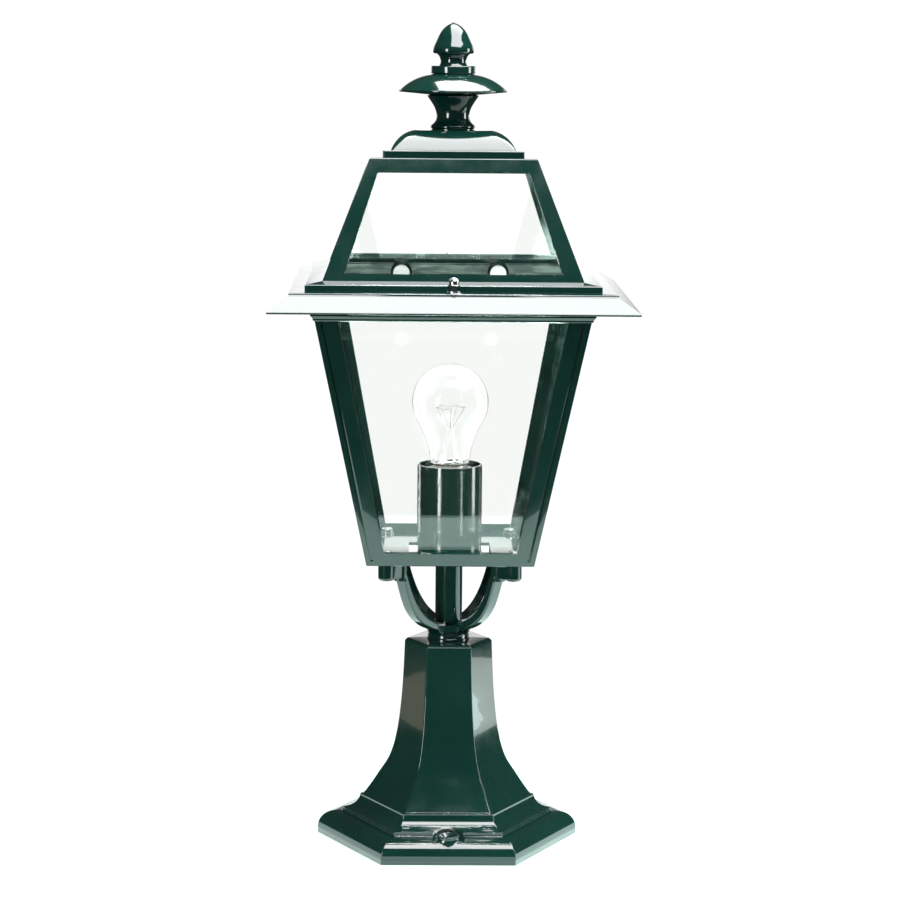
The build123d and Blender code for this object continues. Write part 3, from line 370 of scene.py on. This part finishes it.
def turned_body(name, outline, material, x=0.0, y=0.0, segments=64):
    """Closed body turned about an upright axis from an outline of (radius, height)."""
    verts, faces, rings = [], [], []
    for radius, height in outline:
        if radius < 1e-6:
            rings.append([len(verts)] * segments)
            verts.append((x, y, height))
            continue
        rings.append(list(range(len(verts), len(verts) + segments)))
        for step in range(segments):
            angle = 2 * math.pi * step / segments
            verts.append((x + radius * math.cos(angle), y + radius * math.sin(angle), height))
    for low, high in zip(rings, rings[1:]):
        for step in range(segments):
            after = (step + 1) % segments
            corners = (low[step], low[after], high[after], high[step])
            face = tuple(dict.fromkeys(corners))
            if len(face) > 2:
                faces.append(face)
    return new_piece(name, verts, faces, material)


def cylinder(name, radius, bottom, top, x, y):
    """Closed upright cylinder."""
    return turned_body(name, [(0, bottom), (radius, bottom), (radius, top), (0, top)], CAST_PAINT,
                       x, y, 48)


def combined(piece, tool, operation):
    """Unites a tool with a piece or cuts it away, and discards the tool."""
    step = piece.modifiers.new("combine", "BOOLEAN")
    step.operation = operation
    step.solver = "EXACT"
    step.object = tool
    result = bpy.data.meshes.new_from_object(
        piece.evaluated_get(bpy.context.evaluated_depsgraph_get()))
    piece.modifiers.clear()
    piece.data = result
    bpy.data.objects.remove(tool)


BOSS_PLACE = frame["record"]["mounts"][1]["dims"]["pcd_mm"] / 2
BOSS_DIRECTIONS = (90, 270)  # rear and front
BOSS_R, BOSS_TOP, POCKET_R, SEAT_R, SEAT_Z = 8.9, 20.6, 13.0, 6.6, 18.1
FIXING_HOLE_R, ROD_HOLE_R = 3.5, 5.3


def pedestal_skin():
    """Pedestal casting: rolled foot, stepped cove, flared column and two fixing bosses."""
    foot, roll, roll_z, ease, arris = 90.0, 13.0, 5.0, 1.2, 1.5
    cove = curve_through([(72.7, 21.0), (68.4, 22.1), (64.4, 24.4), (61.8, 27.6), (60.6, 31.0)], 4)
    column = curve_through([(58.0, 32.6), (53.0, 40.6), (47.3, 50.6), (40.2, 64.0), (35.4, 83.0),
                            (32.7, 106.0), (31.1, 131.0), (30.1, 158.0)], 6)
    outline = [(foot, 0.0), (foot, roll_z)] + arc((foot - roll, roll_z), roll, 6, 90, 14)
    outline += [(72.7, 18.0)] + cove + [(60.6, 32.2), (58.3, 32.4)] + column
    outline += [(28.3, 160.0), (15.2, 160.6)]
    skin = hexagonal_body("pedestal_skin", eased(outline, ease), arris, CAST_PAINT)
    inner = [(85.5, -1.0), (85.5, 5.0), (71.7, 13.5), (56.6, 26.5)]
    inner += curve_through([(54.0, 28.0), (41.8, 50.6), (35.1, 64.0), (30.6, 83.0), (28.2, 106.0),
                            (25.6, 152.0)], 4)
    combined(skin, hexagonal_body("hollow", inner, 0.5, CAST_PAINT), "DIFFERENCE")
    for direction in BOSS_DIRECTIONS:
        angle = math.radians(direction)
        x, y = BOSS_PLACE * math.cos(angle), BOSS_PLACE * math.sin(angle)
        combined(skin, cylinder("pocket", POCKET_R, 16.5, 29.5, x, y), "DIFFERENCE")
        boss = eased([(0, 0.02), (BOSS_R, 0.02), (BOSS_R, BOSS_TOP), (SEAT_R, BOSS_TOP),
                      (FIXING_HOLE_R, SEAT_Z), (0, SEAT_Z)], 0.9)
        combined(skin, turned_body("boss", boss, CAST_PAINT, x, y, 48), "UNION")
        combined(skin, cylinder("hole", FIXING_HOLE_R, -1.0, 19.0, x, y), "DIFFERENCE")
    combined(skin, cylinder("rod_hole", ROD_HOLE_R, 140.0, 170.0, 0, 0), "DIFFERENCE")
    even_shading(skin)
    stands_for(skin, "pedestal")


def painted_light_strip():
    """Thin square band against the inside of the roof's foot: a pale glowing sheet that paints light
    onto it.
    """
    outer, inner, low, high = 99.9, 99.5, 441.0, 448.8
    verts, faces = [], []
    for half, height in ((outer, low), (outer, high), (inner, high), (inner, low)):
        verts += [(-half, -half, height), (half, -half, height), (half, half, height),
                  (-half, half, height)]
    for level in range(4):
        near, far = 4 * level, 4 * ((level + 1) % 4)
        for step in range(4):
            after = (step + 1) % 4
            faces.append((near + step, near + after, far + after, far + step))
    strip = new_piece("painted_light_strip", verts, faces, GLOW_STRIP_PAINT)
    for polygon in strip.data.polygons:
        polygon.use_smooth = False
    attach(strip, BODY_OF["roof_casting"])


pedestal_skin()
# painted light: a pale glowing band inside the roof's foot
painted_light_strip()
softened("body_frame", 0.7 * MM, PAINT)
softened("roof_casting", 0.7 * MM, PAINT)
softened("yoke", 1.2 * MM, PAINT)


# ---- Bulb -----------------------------------------------------------------------------------

def bulb_envelope():
    """Blown bulb and its glass mount, sealed together at the neck."""
    low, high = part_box("bulb_glass")
    top, neck, radius = high[2] / MM, low[2] / MM, (high[0] - low[0]) / 2 / MM
    centre = top - radius
    join = -32.0
    join_point = arc((0, centre), radius, join, join, 1)[0]
    shoulder = curve_through([(15.4, neck + 0.2), (15.9, neck + 5), (17.2, neck + 13),
                              (20.4, neck + 22), join_point], 6)
    outline = shoulder + arc((0, centre), radius, join + 4, 90, 40)
    mount = curve_through([(14.6, neck + 0.1), (9.0, neck + 2), (4.6, neck + 9), (3.7, neck + 16),
                           (3.5, neck + 25), (1.9, neck + 29), (1.6, neck + 35), (0, neck + 37)], 5)
    envelope = turned_body("bulb_envelope", list(reversed(mount)) + outline,
                           MATERIALS["bulb_glass"], segments=96)
    stands_for(envelope, "bulb_glass", "bulb_stem")


def fine_wire(name, points, radius, material):
    """Round wire through points in millimetres."""
    curve = bpy.data.curves.new(name, "CURVE")
    curve.dimensions = "3D"
    curve.bevel_depth = radius * MM
    curve.bevel_resolution = 2
    curve.use_fill_caps = True
    line = curve.splines.new("POLY")
    line.points.add(len(points) - 1)
    for point, place in zip(line.points, points):
        point.co = (*(Vector(place) * MM), 1.0)
    curve.materials.append(material)
    wire = bpy.data.objects.new(name, curve)
    scene.collection.objects.link(wire)
    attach(wire, BODY_OF["bulb_filament"])
    return wire


def bulb_mount():
    """Two lead wires, three support wires and a coiled filament hung round them."""
    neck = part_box("bulb_glass")[0][2] / MM
    pinch_z, ring_z, ring_r = neck + 27.0, neck + 44.0, 11.6
    tips = [(ring_r * math.cos(math.radians(a)), ring_r * math.sin(math.radians(a)), ring_z)
            for a in (-8, 62, 132, 202, 272)]
    for number, tip in enumerate(tips):
        root = (tip[0] * 0.14, tip[1] * 0.14, pinch_z)
        lead = number in (0, 4)
        fine_wire(f"bulb_wire_{number + 1}", [root, tip], 0.16 if lead else 0.09,
                  MATERIALS["filament"])
    coil = []
    turns_per_span, steps, coil_radius, droop = 22, 8, 0.28, 1.1
    for start, end in zip(tips, tips[1:]):
        along = Vector(end) - Vector(start)
        side = Vector((along.y, -along.x, 0)).normalized()
        for step in range(turns_per_span * steps):
            share = step / (turns_per_span * steps)
            angle = 2 * math.pi * step / steps
            sag = Vector((0, 0, -droop * math.sin(math.pi * share)))
            offset = (side * coil_radius * math.cos(angle)
                      + Vector((0, 0, coil_radius * math.sin(angle))))
            coil.append(tuple(Vector(start) + along * share + sag + offset))
    filament = fine_wire("filament_coil", coil, 0.05, MATERIALS["filament"])
    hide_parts("bulb_filament")


bulb_envelope()
bulb_mount()


# ---- Studio ---------------------------------------------------------------------------------

FLOOR_LEFT, FLOOR_RIGHT = -0.48, 1.4
FLOOR_FRONT, FLOOR_BACK = -0.486, 0.30  # what reflections show of the pale floor
FLOOR_NEAR = -2.0  # the rest of it, towards the camera
FLOOR_Z = -0.0002  # just below the foot, so that the two don't flicker


def floor_patch(name, y_front, y_back, material):
    """Flat piece of floor, part of the stage."""
    mesh = bpy.data.meshes.new(name)
    corners = [(FLOOR_LEFT, y_front, FLOOR_Z), (FLOOR_RIGHT, y_front, FLOOR_Z),
               (FLOOR_RIGHT, y_back, FLOOR_Z), (FLOOR_LEFT, y_back, FLOOR_Z)]
    mesh.from_pydata(corners, [], [(0, 1, 2, 3)])
    mesh.materials.append(material)
    patch = bpy.data.objects.new(name, mesh)
    scene.collection.objects.link(patch)
    return patch


def floor_material():
    """Pale matt paper."""
    material, tree, output = new_material("floor_paper")
    mottle = ranged(tree, noise(tree, 6.0, 3.0), 0.0, 1.0)
    principled(tree, output, Roughness=0.9,
               Base_Color=blended(tree, mottle, (0.40, 0.62, 0.56), (0.39, 0.61, 0.55)),
               Emission_Color=(0.93, 1.0, 0.98, 1.0), Emission_Strength=0.7)
    return material


PAPER = floor_material()
floor_patch("floor", FLOOR_FRONT, FLOOR_BACK, PAPER)
front_floor = floor_patch("floor_front", FLOOR_NEAR, FLOOR_FRONT, PAPER)
front_floor.visible_glossy = False
front_floor.visible_diffuse = False


def softbox(name, place, target, width, height, radiance, color=(1.0, 1.0, 1.0)):
    """Rectangular area light that faces its target."""
    light = bpy.data.lights.new(name, "AREA")
    light.shape = "RECTANGLE"
    light.size = width
    light.size_y = height
    light.energy = radiance * math.pi * width * height
    light.color = color
    lamp = bpy.data.objects.new(name, light)
    lamp.location = place
    lamp.rotation_euler = (Vector(target) - Vector(place)).to_track_quat("-Z", "Y").to_euler()
    lamp.visible_camera = False
    scene.collection.objects.link(lamp)
    return lamp


def around(azimuth, distance, height):
    """Point at an azimuth seen from above: 0 is the front, 90 the right."""
    angle = math.radians(azimuth)
    return (distance * math.sin(angle), -distance * math.cos(angle), height)


def floor_card(name, azimuth, near, far, across, radiance, color):
    """Lit card on the floor that faces up, from a near to a far distance."""
    card_height = 0.004
    place = around(azimuth, (near + far) / 2, card_height)
    above = (place[0], place[1], 1.0)
    card = softbox(name, place, above, across, far - near, radiance, color)
    card.rotation_euler = (math.pi, 0.0, math.radians(azimuth))


STRIP_TARGET = (0, 0, 0.4)
softbox("overhead", (0.48, -0.30, 1.9), (0.48, -0.30, 0.0), 1.65, 2.3, 9.0)
softbox("strip_left", around(-38, 2.0, 0.55), STRIP_TARGET, 0.42, 1.3, 11.0)
softbox("strip_right", around(93, 2.0, 0.55), STRIP_TARGET, 0.50, 1.3, 7.0)
floor_card("card_right", 121, 0.45, 0.745, 0.30, 1.9, (0.90, 1.0, 0.96))
floor_card("card_left", -119, 0.55, 0.70, 0.14, 0.5, (1.0, 0.82, 0.62))


def studio_world():
    """White to the camera; in reflections a dark room with a pale backdrop behind."""
    room_level, backdrop_level, camera_level = 0.035, 1.15, 1.05
    world = bpy.data.worlds.new("studio")
    world.use_nodes = True
    tree = world.node_tree
    tree.nodes.clear()
    output = add_node(tree, "ShaderNodeOutputWorld")
    direction = add_node(tree, "ShaderNodeTexCoord").outputs["Generated"]
    axes = add_node(tree, "ShaderNodeSeparateXYZ", Vector=direction)
    below_top = ranged(tree, axes.outputs["Z"], 1.0, 0.0, start=0.20, end=0.27)
    above_floor = ranged(tree, axes.outputs["Z"], 0.0, 1.0, start=-0.06, end=-0.04)
    low = add_node(tree, "ShaderNodeMath", {"operation": "MULTIPLY"})
    tree.links.new(below_top, low.inputs[0])
    tree.links.new(above_floor, low.inputs[1])
    aim = add_node(tree, "ShaderNodeVectorMath", {"operation": "DOT_PRODUCT"})
    tree.links.new(direction, aim.inputs[0])
    aim.inputs[1].default_value = (0.10, 0.995, 0.0)
    behind = ranged(tree, aim.outputs["Value"], 0.0, 1.0, start=0.70, end=0.82)
    panel = add_node(tree, "ShaderNodeMath", {"operation": "MULTIPLY"})
    tree.links.new(low.outputs[0], panel.inputs[0])
    tree.links.new(behind, panel.inputs[1])
    room = ranged(tree, panel.outputs[0], room_level, backdrop_level, start=0.0, end=1.0)
    dark = add_node(tree, "ShaderNodeBackground", Color=(1.0, 1.0, 1.0, 1.0), Strength=room)
    white = add_node(tree, "ShaderNodeBackground", Color=(1.0, 1.0, 1.0, 1.0),
                     Strength=camera_level)
    seen = add_node(tree, "ShaderNodeLightPath").outputs["Is Camera Ray"]
    mix = add_node(tree, "ShaderNodeMixShader")
    tree.links.new(seen, mix.inputs[0])
    tree.links.new(dark.outputs["Background"], mix.inputs[1])
    tree.links.new(white.outputs["Background"], mix.inputs[2])
    tree.links.new(mix.outputs["Shader"], output.inputs["Surface"])
    scene.world = world


studio_world()
scene.view_settings.view_transform = "Standard"
scene.view_settings.look = "None"


# ---- Camera ---------------------------------------------------------------------------------

CAMERA_AZIMUTH = math.radians(-0.9)
CAMERA_DISTANCE = 2.15
CAMERA_HEIGHT = 0.640
CAMERA_PITCH = math.radians(8.7)
CAMERA_ROLL = math.radians(0.5)

camera_data = bpy.data.cameras.new("camera")
camera_data.lens = 110.4
camera_data.sensor_width = 36.0
camera = bpy.data.objects.new("camera", camera_data)
scene.collection.objects.link(camera)
camera.matrix_world = (
    Matrix.Translation((CAMERA_DISTANCE * math.sin(CAMERA_AZIMUTH),
                        -CAMERA_DISTANCE * math.cos(CAMERA_AZIMUTH), CAMERA_HEIGHT))
    @ Matrix.Rotation(CAMERA_AZIMUTH, 4, "Z")
    @ Matrix.Rotation(math.pi / 2 - CAMERA_PITCH, 4, "X")
    @ Matrix.Rotation(CAMERA_ROLL, 4, "Z"))
scene.camera = camera
